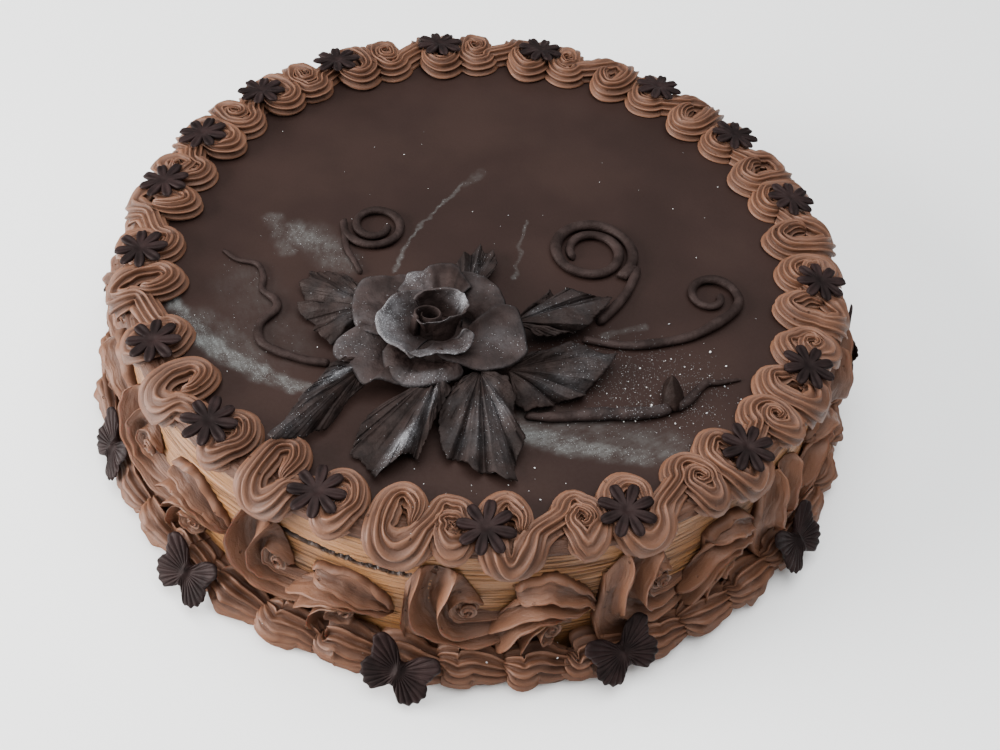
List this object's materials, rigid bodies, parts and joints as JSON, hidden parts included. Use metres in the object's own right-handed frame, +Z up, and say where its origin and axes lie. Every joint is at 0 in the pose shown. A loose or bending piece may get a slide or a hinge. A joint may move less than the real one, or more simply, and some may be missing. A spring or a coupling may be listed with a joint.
{
  "type": "cream cake",
  "caption": "Whole round cream cake with a dark chocolate sheet on top, piped scroll borders, a modelled rose with leaves and tendrils, small flowers and butterflies.",
  "frame": {"origin": "centre of the flat underside", "axes": "+Z up, -Y towards the front, where the rose lies nearest, +X to the right"},
  "size_m": [0.3052, 0.3088, 0.0822],
  "materials": {
    "cream_coat": "soft satin caramel cream with combed lines",
    "piped_cream": "satin milk-chocolate cream",
    "chocolate_sheet": "matte dark chocolate with silver dust",
    "dark_fondant": "matte near-black paste",
    "moulded_chocolate": "dark modelling paste with silver dust"
  },
  "bodies": {
    "root": {"base_border": "piped_cream", "butterfly_01": "dark_fondant", "butterfly_02": "dark_fondant", "butterfly_03": "dark_fondant", "butterfly_04": "dark_fondant", "butterfly_05": "dark_fondant", "butterfly_06": "dark_fondant", "butterfly_07": "dark_fondant", "butterfly_08": "dark_fondant", "butterfly_09": "dark_fondant", "butterfly_10": "dark_fondant", "butterfly_11": "dark_fondant", "cake_body": "cream_coat", "chocolate_sheet": "chocolate_sheet", "flower_01": "dark_fondant", "flower_02": "dark_fondant", "flower_03": "dark_fondant", "flower_04": "dark_fondant", "flower_05": "dark_fondant", "flower_06": "dark_fondant", "flower_07": "dark_fondant", "flower_08": "dark_fondant", "flower_09": "dark_fondant", "flower_10": "dark_fondant", "flower_11": "dark_fondant", "flower_12": "dark_fondant", "flower_13": "dark_fondant", "flower_14": "dark_fondant", "flower_15": "dark_fondant", "flower_16": "dark_fondant", "flower_17": "dark_fondant", "flower_18": "dark_fondant", "leaf_back": "moulded_chocolate", "leaf_back_left": "moulded_chocolate", "leaf_back_right": "moulded_chocolate", "leaf_front": "moulded_chocolate", "leaf_front_left": "moulded_chocolate", "leaf_front_right": "moulded_chocolate", "leaf_right": "moulded_chocolate", "rose_bud": "moulded_chocolate", "rose_cup_petal_1": "moulded_chocolate", "rose_cup_petal_2": "moulded_chocolate", "rose_cup_petal_3": "moulded_chocolate", "rose_inner_petal_1": "moulded_chocolate", "rose_inner_petal_2": "moulded_chocolate", "rose_outer_petal_1": "moulded_chocolate", "rose_outer_petal_2": "moulded_chocolate", "rose_outer_petal_3": "moulded_chocolate", "rose_outer_petal_4": "moulded_chocolate", "rose_outer_petal_5": "moulded_chocolate", "side_scrolls": "piped_cream", "tendril_branch": "moulded_chocolate", "tendril_bud": "moulded_chocolate", "tendril_large": "moulded_chocolate", "tendril_left": "moulded_chocolate", "tendril_right": "moulded_chocolate", "tendril_small": "moulded_chocolate", "tendril_tip": "moulded_chocolate", "top_border": "piped_cream"}
  },
  "joints": []
}
